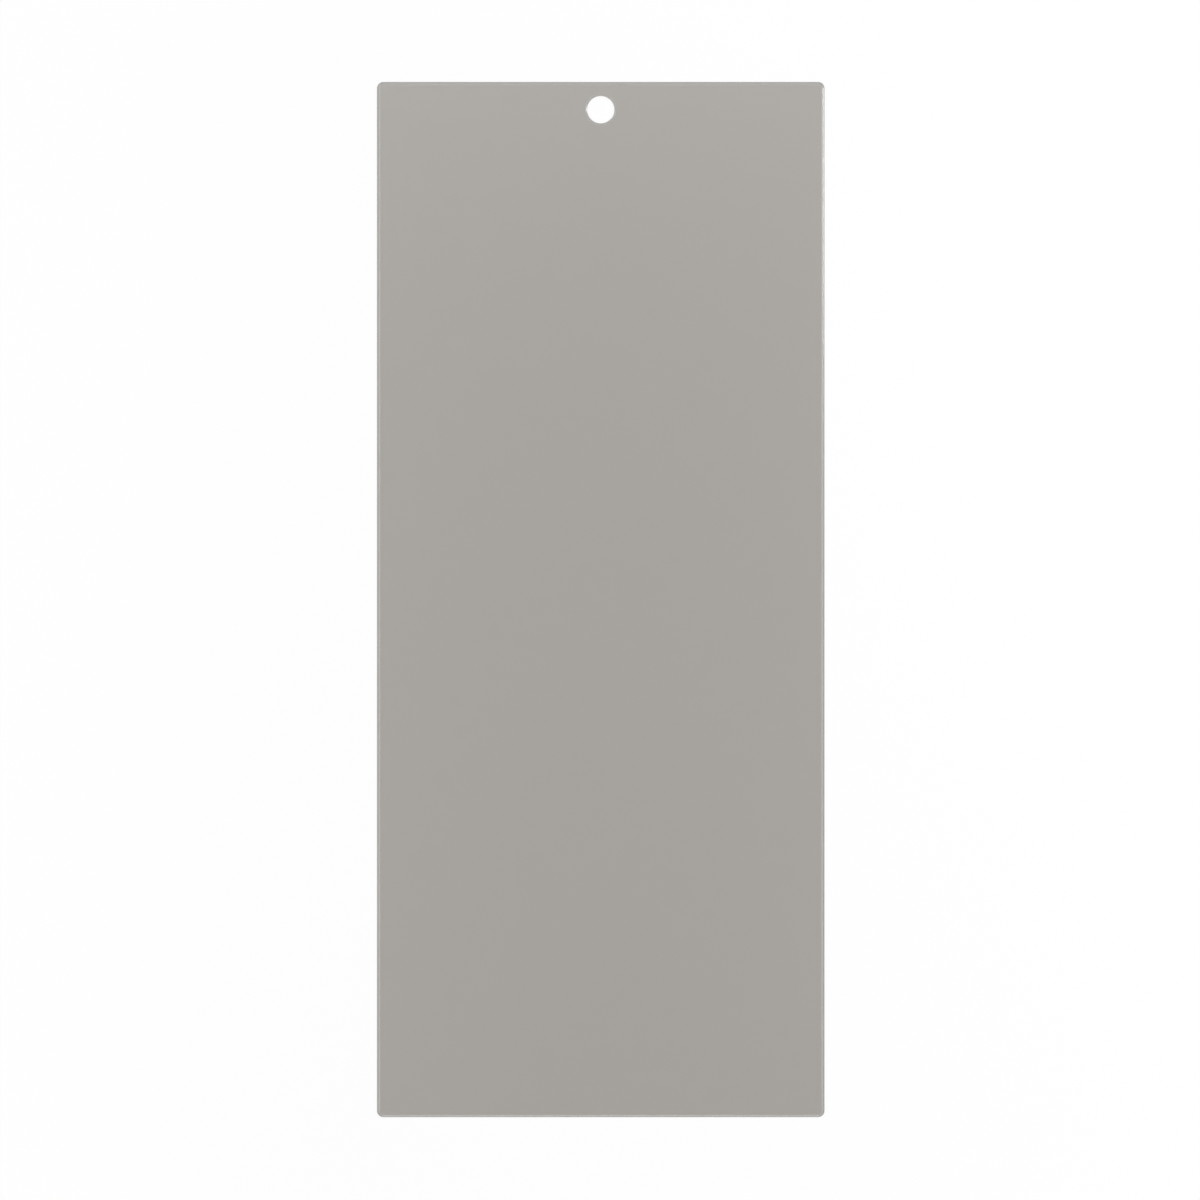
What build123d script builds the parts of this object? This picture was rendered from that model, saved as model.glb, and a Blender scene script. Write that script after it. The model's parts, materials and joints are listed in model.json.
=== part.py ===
"""Phone screen protector: one flat sheet of tinted toughened glass with a ground edge and a camera hole.

The origin is at the centre of the underside, the face that sticks to the phone's screen. +X runs across
the width, +Y runs along the length towards the camera hole, and +Z points away from the screen.
"""

import os

from build123d import *

# Sheet
sheet_width = 67.0
sheet_length = 155.0
sheet_thickness = 0.33
corner_radius = 0.95

# Camera hole, on the centre line of the width
camera_hole_diameter = 4.1
camera_hole_setback = 4.15  # from the top edge to the hole's centre

# Ground edge: an arc that leaves the front face without a crease and ends on an upright side
edge_reach = 0.5  # from the outline in to where the front face is flat again
side_height = 0.13  # upright side that is left below the arc
lip_reach = 0.3  # the same round the camera hole, from its wall out
wall_height = 0.21  # wall of the hole that is left below its arc
back_bevel = 0.05  # on the underside's outline and around the hole

# Worked out from the sizes above
edge_drop = sheet_thickness - side_height
lip_drop = sheet_thickness - wall_height
camera_hole_y = sheet_length / 2 - camera_hole_setback

os.makedirs("parts", exist_ok=True)

# The sheet is cut to its outline and drilled
with BuildPart() as protector_sheet:
    with BuildSketch():
        RectangleRounded(sheet_width, sheet_length, corner_radius)
        with Locations((0, camera_hole_y)):
            Circle(camera_hole_diameter / 2, mode=Mode.SUBTRACT)
    extrude(amount=sheet_thickness)
    front_face = protector_sheet.faces().sort_by(Axis.Z)[-1]
    back_face = protector_sheet.faces().sort_by(Axis.Z)[0]
    front_outline = front_face.outer_wire()
    front_hole = front_face.inner_wires()[0]

    # The sharp edges of the back are eased
    chamfer(back_face.edges(), back_bevel)

    # The front edges are ground round: the waste is carried along the outline and round the hole, and cut away
    for rim, reach, drop in ((front_outline, edge_reach, edge_drop), (front_hole, lip_reach, lip_drop)):
        along_rim = rim % 0
        into_glass = Vector(0, 0, 1).cross(along_rim)
        with BuildSketch(Plane(origin=rim @ 0, x_dir=into_glass, z_dir=along_rim)):
            with BuildLine():
                TangentArc((reach, 0), (0, -drop), tangent=(-1, 0))
                Polyline((0, -drop), (0, 0), (reach, 0))
            make_face()
        sweep(path=rim, mode=Mode.SUBTRACT)

protector_sheet.part.label = "protector_sheet"
export_step(protector_sheet.part, "parts/protector_sheet.step")
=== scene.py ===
"""Phone screen protector: one thin sheet of grey-tinted glass, lying on a white table and seen from above."""
import json
import math

import bpy
import numpy as np
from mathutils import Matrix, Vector


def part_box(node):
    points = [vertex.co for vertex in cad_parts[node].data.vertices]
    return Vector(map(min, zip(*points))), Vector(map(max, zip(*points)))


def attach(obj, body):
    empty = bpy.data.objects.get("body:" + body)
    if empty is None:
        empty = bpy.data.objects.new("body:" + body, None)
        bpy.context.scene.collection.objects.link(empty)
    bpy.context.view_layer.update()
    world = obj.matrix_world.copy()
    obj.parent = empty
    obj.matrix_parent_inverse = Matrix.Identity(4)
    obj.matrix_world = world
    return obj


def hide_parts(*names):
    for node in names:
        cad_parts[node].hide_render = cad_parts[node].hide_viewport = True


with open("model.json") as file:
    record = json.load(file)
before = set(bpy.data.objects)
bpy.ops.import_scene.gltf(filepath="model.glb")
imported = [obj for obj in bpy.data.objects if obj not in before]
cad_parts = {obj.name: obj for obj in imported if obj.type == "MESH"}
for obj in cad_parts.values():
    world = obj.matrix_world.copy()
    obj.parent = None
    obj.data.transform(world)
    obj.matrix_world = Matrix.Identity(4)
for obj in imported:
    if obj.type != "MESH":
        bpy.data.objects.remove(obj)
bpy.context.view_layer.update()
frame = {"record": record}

# The sheet
# One pane of toughened glass with a grey tint, cut and drilled to fit a phone's screen, and stuck on by its
# back. Its front edge is ground to an arc above a narrow upright side, and the camera hole's lip is rounded.
sheet_low, sheet_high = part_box("protector_sheet")
half_width = sheet_high.x
half_length = sheet_high.y
thickness = sheet_high.z
corner_radius = 0.00095
camera_hole = next(mount for mount in frame["record"]["mounts"] if mount["name"] == "camera_hole")
hole_x, hole_y, _ = camera_hole["pos_m"]
hole_radius = camera_hole["dims"]["r_mm"] / 1000
edge_reach = 0.0005
side_height = 0.00013
lip_reach = 0.0003
wall_height = 0.00021
back_bevel = 0.00005

spokes_round_hole = 240
points_round_corner = 17
arc_points = 13
field_rings = 7
flat_margin = 0.00005
halvings = 48
crease_angle = math.radians(25)

warm_tint = (0.332, 0.313, 0.287)
cool_tint = (0.329, 0.313, 0.294)
# The pale, dark and outline tints are painted highlight and painted shade along the ground edge and the
# hole's lip. They stand in for how the edge bends and mirrors light.
painted_highlight_tint = (0.585, 0.573, 0.556)
painted_shade_tint = (0.300, 0.293, 0.283)
painted_outline_highlight_tint = (0.470, 0.460, 0.446)
arc_begins = (0.22, 0.34)  # shares of the way from the face to the outline, as in the bands
painted_light_bands = ((0.49, painted_highlight_tint), (0.58, painted_shade_tint), (0.70, painted_shade_tint), (0.80, painted_outline_highlight_tint))
clouds_per_metre = 250
cloud_detail = 2
grains_per_metre = 2500
grain_detail = 3
grain_height = 0.000002
grain_strength = 0.2
satin_roughness = (0.26, 0.34)
edge_roughness = 0.2
coat_weight = 0.3
coat_roughness = 0.05
glass_ior = 1.5


def depth_in_outline(x, y):
    """How far a point lies inside the outline, a rectangle with round corners. The rectangle is drawn in by
    the corner radius: outside it the depth is the radius less the distance to it, and inside it the distance
    is added."""
    past_x = np.abs(x) - (half_width - corner_radius)
    past_y = np.abs(y) - (half_length - corner_radius)
    outside = np.hypot(np.maximum(past_x, 0), np.maximum(past_y, 0))
    inside = -np.minimum(np.maximum(past_x, past_y), 0)
    return corner_radius - outside + inside


def reach_to_depth(bearing, depth):
    """Distance from the hole's centre, along each bearing, to the curve that lies at a depth inside the
    outline. A span from the centre to past the outline is halved, towards the end that still holds the
    curve."""
    near = np.zeros(np.broadcast_shapes(bearing.shape, depth.shape))
    far = near + 2 * half_length
    for _ in range(halvings):
        middle = (near + far) / 2
        x = hole_x + middle * np.cos(bearing)
        y = hole_y + middle * np.sin(bearing)
        short = depth_in_outline(x, y) > depth
        near = np.where(short, middle, near)
        far = np.where(short, far, middle)
    return near


def bearings_round_hole():
    """Bearings from the hole's centre: even steps that keep the hole round, and one to each point of the
    corners."""
    even = np.linspace(-math.pi, math.pi, spokes_round_hole, endpoint=False)
    turn = np.linspace(0, math.pi / 2, points_round_corner)
    corner_x = half_width - corner_radius * (1 - np.cos(turn))
    corner_y = half_length - corner_radius * (1 - np.sin(turn))
    signs = np.array([[-1, -1], [-1, 1], [1, -1], [1, 1]])
    to_corners = np.arctan2(
        signs[:, 1:] * corner_y - hole_y,
        signs[:, :1] * corner_x - hole_x,
    )
    return np.unique(np.concatenate([even, to_corners.ravel()]))


def ground_arc(reach, foot):
    """Distances from an edge and heights along its ground arc, from the foot up to the front face. The arc is
    part of a circle that touches the face at the reach, so reach squared is drop times twice the radius less
    the drop."""
    drop = thickness - foot
    radius = (reach**2 + drop**2) / (2 * drop)
    turn = np.linspace(math.asin(reach / radius), 0, arc_points)
    return reach - radius * np.sin(turn), thickness - radius * (1 - np.cos(turn))


def sheet_mesh():
    """The sheet's section carried round the hole. Each ring of points is a reach from the hole's centre and
    a height: up the ground edge, in over the front face, down through the hole and out along the back to the
    start."""
    bearing = bearings_round_hole()
    arc_depth, arc_height = ground_arc(edge_reach, side_height)
    rim_depth = np.concatenate([[back_bevel, 0], arc_depth, [edge_reach + flat_margin]])
    rim_height = np.concatenate([[0, back_bevel], arc_height, [thickness]])
    lip_outset, lip_height = ground_arc(lip_reach, wall_height)
    hole_outset = np.concatenate([[lip_reach + flat_margin], lip_outset[::-1], [0, back_bevel]])
    hole_height = np.concatenate([[thickness], lip_height[::-1], [back_bevel, 0]])

    rim_reach = reach_to_depth(bearing, rim_depth[:, None])
    hole_reach = np.repeat(hole_radius + hole_outset[:, None], len(bearing), axis=1)
    share = np.linspace(0, 1, field_rings + 2)[1:-1, None]
    front_reach = rim_reach[-1] * (1 - share) + hole_reach[0] * share
    back_reach = hole_reach[-1] * (1 - share) + rim_reach[0] * share
    reach = np.concatenate([rim_reach, front_reach, hole_reach, back_reach])
    height = np.concatenate([
        rim_height,
        np.full(field_rings, thickness),
        hole_height,
        np.zeros(field_rings),
    ])

    points = np.stack([
        hole_x + reach * np.cos(bearing),
        hole_y + reach * np.sin(bearing),
        np.broadcast_to(height[:, None], reach.shape),
    ], axis=-1)
    here = np.arange(reach.size).reshape(reach.shape)
    inwards = np.roll(here, -1, axis=0)
    faces = np.stack([
        here,
        np.roll(here, -1, axis=1),
        np.roll(inwards, -1, axis=1),
        inwards,
    ], axis=-1)
    mesh = bpy.data.meshes.new("tinted_sheet")
    mesh.from_pydata(points.reshape(-1, 3), [], faces.reshape(-1, 4))
    mesh.shade_smooth()
    mesh.set_sharp_from_angle(angle=crease_angle)

    edge_rings = np.concatenate([
        [0, 1],
        1 - rim_depth[2:-1] / edge_reach,
        np.zeros(1 + field_rings + 1),
        1 - hole_outset[1:-2] / lip_reach,
        [1, 0],
        np.zeros(field_rings),
    ])
    edge = mesh.attributes.new("edge", "FLOAT", "POINT")
    edge.data.foreach_set("value", np.repeat(edge_rings, len(bearing)))
    return mesh


def tinted_glass():
    """Grey see-through glass. The tint is faintly clouded, and the faces have a fine satin grain under a thin
    gloss coat. The ground edge is smoother and has no coat, and its tint runs in bands of painted highlight
    and painted shade from the face to the outline, which stand in for how the edge bends and mirrors light."""
    material = bpy.data.materials.new("tinted_glass")
    material.use_nodes = True
    nodes = material.node_tree.nodes
    link = material.node_tree.links.new
    glass = nodes["Principled BSDF"]
    glass.inputs["Transmission Weight"].default_value = 1.0
    glass.inputs["IOR"].default_value = glass_ior
    glass.inputs["Coat Roughness"].default_value = coat_roughness
    place = nodes.new("ShaderNodeTexCoord")
    edge = nodes.new("ShaderNodeAttribute")
    edge.attribute_name = "edge"

    def noise(features_per_metre, detail):
        """Noise with this many features to the metre."""
        texture = nodes.new("ShaderNodeTexNoise")
        texture.inputs["Scale"].default_value = features_per_metre
        texture.inputs["Detail"].default_value = detail
        link(place.outputs["Object"], texture.inputs["Vector"])
        return texture.outputs["Fac"]

    arc = nodes.new("ShaderNodeMapRange")
    arc.interpolation_type = "SMOOTHSTEP"
    arc.inputs["From Min"].default_value, arc.inputs["From Max"].default_value = arc_begins
    link(edge.outputs["Fac"], arc.inputs["Value"])

    cloud = nodes.new("ShaderNodeMix")
    cloud.data_type = "RGBA"
    cloud.inputs["A"].default_value = (*warm_tint, 1)
    cloud.inputs["B"].default_value = (*cool_tint, 1)
    link(noise(clouds_per_metre, cloud_detail), cloud.inputs["Factor"])
    # Painted highlight and painted shade in bands along the ground edge and the hole's lip, from the face to
    # the outline.
    painted_light_ramp = nodes.new("ShaderNodeValToRGB")
    painted_light_ramp.color_ramp.interpolation = "EASE"
    stops = painted_light_ramp.color_ramp.elements
    while len(stops) < len(painted_light_bands):
        stops.new(1.0)
    for stop, (share, painted_band_tint) in zip(stops, painted_light_bands):
        stop.position = share
        stop.color = (*painted_band_tint, 1)
    link(edge.outputs["Fac"], painted_light_ramp.inputs["Fac"])
    tint = nodes.new("ShaderNodeMix")
    tint.data_type = "RGBA"
    link(arc.outputs["Result"], tint.inputs["Factor"])
    link(cloud.outputs["Result"], tint.inputs["A"])
    link(painted_light_ramp.outputs["Color"], tint.inputs["B"])
    link(tint.outputs["Result"], glass.inputs["Base Color"])

    grain = noise(grains_per_metre, grain_detail)
    satin = nodes.new("ShaderNodeMapRange")
    satin.inputs["To Min"].default_value, satin.inputs["To Max"].default_value = satin_roughness
    link(grain, satin.inputs["Value"])
    finish = nodes.new("ShaderNodeMix")
    finish.inputs["B"].default_value = edge_roughness
    link(satin.outputs["Result"], finish.inputs["A"])
    link(arc.outputs["Result"], finish.inputs["Factor"])
    link(finish.outputs["Result"], glass.inputs["Roughness"])
    relief = nodes.new("ShaderNodeBump")
    relief.inputs["Strength"].default_value = grain_strength
    relief.inputs["Distance"].default_value = grain_height
    link(grain, relief.inputs["Height"])
    link(relief.outputs["Normal"], glass.inputs["Normal"])

    coat = nodes.new("ShaderNodeMapRange")
    coat.inputs["To Min"].default_value = coat_weight
    coat.inputs["To Max"].default_value = 0.0
    link(arc.outputs["Result"], coat.inputs["Value"])
    link(coat.outputs["Result"], glass.inputs["Coat Weight"])
    return material


scene = bpy.context.scene
sheet = bpy.data.objects.new("tinted_sheet", sheet_mesh())
scene.collection.objects.link(sheet)
sheet.data.materials.append(tinted_glass())
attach(sheet, "root")
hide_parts("protector_sheet")

# The table
# A plain white surface that the sheet lies flat on, a hair below its back so that the two share no plane.
# It shows white to the eye and through the glass. Near the sheet it keeps a share of the light that falls
# on it, for the shadow.
table_half_side = 3.0
table_gap = 0.00002
table_white = 0.9
shadow_share = 0.1
shadow_reach = 0.08


def white_table():
    """White that glows at strength 1 for what looks at it, mixed near the sheet with a matt white that takes
    light and shadow. The matt share falls to nothing with the distance from the sheet's outline."""
    material = bpy.data.materials.new("white_table")
    material.use_nodes = True
    nodes = material.node_tree.nodes
    link = material.node_tree.links.new
    nodes.remove(nodes["Principled BSDF"])
    ray = nodes.new("ShaderNodeLightPath")
    seen_in_glass = nodes.new("ShaderNodeMath")
    seen_in_glass.operation = "MAXIMUM"
    link(ray.outputs["Is Glossy Ray"], seen_in_glass.inputs[0])
    link(ray.outputs["Is Transmission Ray"], seen_in_glass.inputs[1])
    place = nodes.new("ShaderNodeTexCoord")
    from_middle = nodes.new("ShaderNodeVectorMath")
    from_middle.operation = "ABSOLUTE"
    link(place.outputs["Object"], from_middle.inputs[0])
    from_sheet = nodes.new("ShaderNodeVectorMath")
    from_sheet.operation = "SUBTRACT"
    from_sheet.inputs[1].default_value = sheet_high
    link(from_middle.outputs["Vector"], from_sheet.inputs[0])
    beyond_sheet = nodes.new("ShaderNodeVectorMath")
    beyond_sheet.operation = "MAXIMUM"
    link(from_sheet.outputs["Vector"], beyond_sheet.inputs[0])
    distance = nodes.new("ShaderNodeVectorMath")
    distance.operation = "LENGTH"
    link(beyond_sheet.outputs["Vector"], distance.inputs[0])
    white_share = nodes.new("ShaderNodeMapRange")
    white_share.inputs["From Max"].default_value = shadow_reach
    white_share.inputs["To Min"].default_value = 1 - shadow_share
    white_share.inputs["To Max"].default_value = 1.0
    link(distance.outputs["Value"], white_share.inputs["Value"])
    shown = nodes.new("ShaderNodeMath")
    shown.operation = "MULTIPLY_ADD"
    link(ray.outputs["Is Camera Ray"], shown.inputs[0])
    link(white_share.outputs["Result"], shown.inputs[1])
    link(seen_in_glass.outputs[0], shown.inputs[2])
    matt = nodes.new("ShaderNodeBsdfDiffuse")
    matt.inputs["Color"].default_value = (table_white, table_white, table_white, 1)
    glow = nodes.new("ShaderNodeEmission")
    mix = nodes.new("ShaderNodeMixShader")
    link(shown.outputs[0], mix.inputs["Fac"])
    link(matt.outputs[0], mix.inputs[1])
    link(glow.outputs[0], mix.inputs[2])
    link(mix.outputs[0], nodes["Material Output"].inputs["Surface"])
    return material


table_mesh = bpy.data.meshes.new("table")
table_corners = np.array([[-1, -1], [1, -1], [1, 1], [-1, 1]]) * table_half_side
table_mesh.from_pydata(np.c_[table_corners, np.full(4, sheet_low.z - table_gap)], [], [(0, 1, 2, 3)])
table_mesh.materials.append(white_table())
table = bpy.data.objects.new("table", table_mesh)
scene.collection.objects.link(table)

# The light
# A white room gives an even level, and soft boxes round the table light the ground edge and the end with
# the hole. The two low ones stand where the gloss of the face mirrors them to someone beside the table.
room_level = 0.15


def white_room():
    """A world that is white to the eye, in the gloss and through the glass, and lights all else at the
    room's level."""
    world = bpy.data.worlds.new("white_room")
    world.use_nodes = True
    nodes = world.node_tree.nodes
    link = world.node_tree.links.new
    ray = nodes.new("ShaderNodeLightPath")
    seen_in_glass = nodes.new("ShaderNodeMath")
    seen_in_glass.operation = "MAXIMUM"
    link(ray.outputs["Is Glossy Ray"], seen_in_glass.inputs[0])
    link(ray.outputs["Is Transmission Ray"], seen_in_glass.inputs[1])
    seen = nodes.new("ShaderNodeMath")
    seen.operation = "MAXIMUM"
    link(ray.outputs["Is Camera Ray"], seen.inputs[0])
    link(seen_in_glass.outputs[0], seen.inputs[1])
    level = nodes.new("ShaderNodeMapRange")
    level.inputs["To Min"].default_value = room_level
    level.inputs["To Max"].default_value = 1.0
    link(seen.outputs[0], level.inputs["Value"])
    room = nodes["Background"]
    room.inputs["Color"].default_value = (1, 1, 1, 1)
    link(level.outputs["Result"], room.inputs["Strength"])
    return world


def soft_box(name, place, width, height, power):
    """A rectangular lamp at a place, facing the middle of the sheet."""
    lamp = bpy.data.lights.new(name, "AREA")
    lamp.shape = "RECTANGLE"
    lamp.size = width
    lamp.size_y = height
    lamp.energy = power
    box = bpy.data.objects.new(name, lamp)
    box.location = place
    box.rotation_euler = (-Vector(place)).to_track_quat("-Z", "Y").to_euler()
    box.visible_camera = False
    scene.collection.objects.link(box)


scene.world = white_room()
soft_box("left_box", (-0.21, 0.0, 0.51), 0.40, 0.17, 0.65)
soft_box("right_box", (0.21, 0.0, 0.51), 0.40, 0.17, 0.62)
soft_box("near_box", (0.0, -0.481, 0.267), 0.30, 0.15, 0.45)
soft_box("far_box", (0.0, 0.494, 0.242), 0.30, 0.375, 0.16)
soft_box("top_box", (0.0, 0.24, 0.60), 0.60, 0.12, 0.74)
soft_box("corner_box", (0.375, 0.13, 0.235), 0.12, 0.20, 1.0)
soft_box("low_left_box", (-0.58, 0.58, 0.38), 0.16, 0.50, 0.75)
soft_box("low_right_box", (0.62, -0.62, 0.235), 0.16, 0.50, 0.26)

# The camera
# Square above the sheet, so that it fills the picture as in the photograph, with the hole's end at the top.
picture_px = 1200
sheet_length_px = 1035.5
sheet_centre_px = (600.75, 599.55)
lens_mm = 100.0
sensor_mm = 36.0
metres_per_px = 2 * half_length / sheet_length_px
camera_data = bpy.data.cameras.new("camera")
camera_data.lens = lens_mm
camera_data.sensor_width = sensor_mm
camera = bpy.data.objects.new("camera", camera_data)
camera.location = (
    (picture_px / 2 - sheet_centre_px[0]) * metres_per_px,
    (sheet_centre_px[1] - picture_px / 2) * metres_per_px,
    thickness + picture_px * metres_per_px * lens_mm / sensor_mm,
)
scene.collection.objects.link(camera)
scene.camera = camera
scene.view_settings.view_transform = "Standard"
